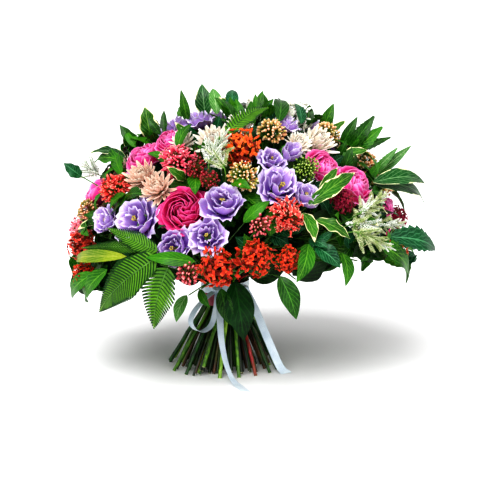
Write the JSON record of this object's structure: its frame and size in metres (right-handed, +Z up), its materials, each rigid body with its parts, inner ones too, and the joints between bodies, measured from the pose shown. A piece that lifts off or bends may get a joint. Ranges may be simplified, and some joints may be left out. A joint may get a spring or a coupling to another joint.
{
  "type": "mixed flower bouquet",
  "caption": "Hand-tied mixed bouquet with a domed head of blooms, berries, fern and leaves, standing on splayed cut stems bound with a band and a ribbon.",
  "frame": {"origin": "middle of the bouquet's outline at the level of the cut stem ends", "axes": "+Z up along the bound stems, +X to the viewer's right and -Y towards the viewer, whom the long ribbon tail faces"},
  "size_m": [0.478, 0.4072, 0.3656],
  "materials": {
    "stems": "green and brown cut stems, satin",
    "band": "crimson binding, satin",
    "ribbon": "pale grey-blue satin ribbon",
    "rose": "deep pink petals, soft",
    "lisianthus": "lavender petals, soft",
    "bride": "cream and blush petals, soft",
    "florets": "orange-red florets, soft",
    "buds": "cream, coral and tan buds, soft",
    "berries": "red, pink, orange and lime berries, glossy",
    "plume": "white feathery plumes, matte",
    "leaves": "green leaves, satin",
    "frond": "fresh green fern, satin"
  },
  "bodies": {
    "root": {"stems": "stems", "tie_band": "band", "ribbon": "ribbon", "rose_centre": "rose", "rose_left": "rose", "rose_right": "rose", "rose_far_left": "rose", "lisianthus_left": "lisianthus", "lisianthus_centre": "lisianthus", "lisianthus_right": "lisianthus", "lisianthus_top_left": "lisianthus", "lisianthus_top_right": "lisianthus", "bride_left": "bride", "bride_top": "bride", "bride_right": "bride", "bride_pink": "bride", "orange_top": "florets", "orange_low": "florets", "orange_left": "florets", "buds_cream": "buds", "buds_coral": "buds", "buds_tan": "buds", "buds_peach": "buds", "buds_top": "buds", "orange_right": "florets", "berries_red": "berries", "berries_pink": "berries", "berries_orange": "berries", "berries_lime": "berries", "back_rose_right": "rose", "back_rose_left": "rose", "back_lisianthus_right": "lisianthus", "back_lisianthus_mid": "lisianthus", "back_lisianthus_top": "lisianthus", "back_bride_mid": "bride", "back_bride_left": "bride", "back_orange_right": "florets", "back_white_top": "florets", "back_orange_left": "florets", "leaves_left_top": "leaves", "leaves_top_left": "leaves", "leaves_top_right": "leaves", "leaves_lobed_right": "leaves", "leaves_dark_right": "leaves", "leaves_variegated": "leaves", "leaves_cut_right": "leaves", "leaves_hanging": "leaves", "leaves_low_left": "leaves", "back_leaves_right": "leaves", "back_leaves_mid": "leaves", "back_leaves_left": "leaves", "leaves_over_tie": "leaves", "fern_low_left": "frond", "fern_low_mid": "frond", "fern_left": "frond", "fern_top": "frond", "back_ferns": "frond", "astilbe_right": "plume", "astilbe_centre": "plume", "astilbe_left": "plume"}
  },
  "joints": []
}
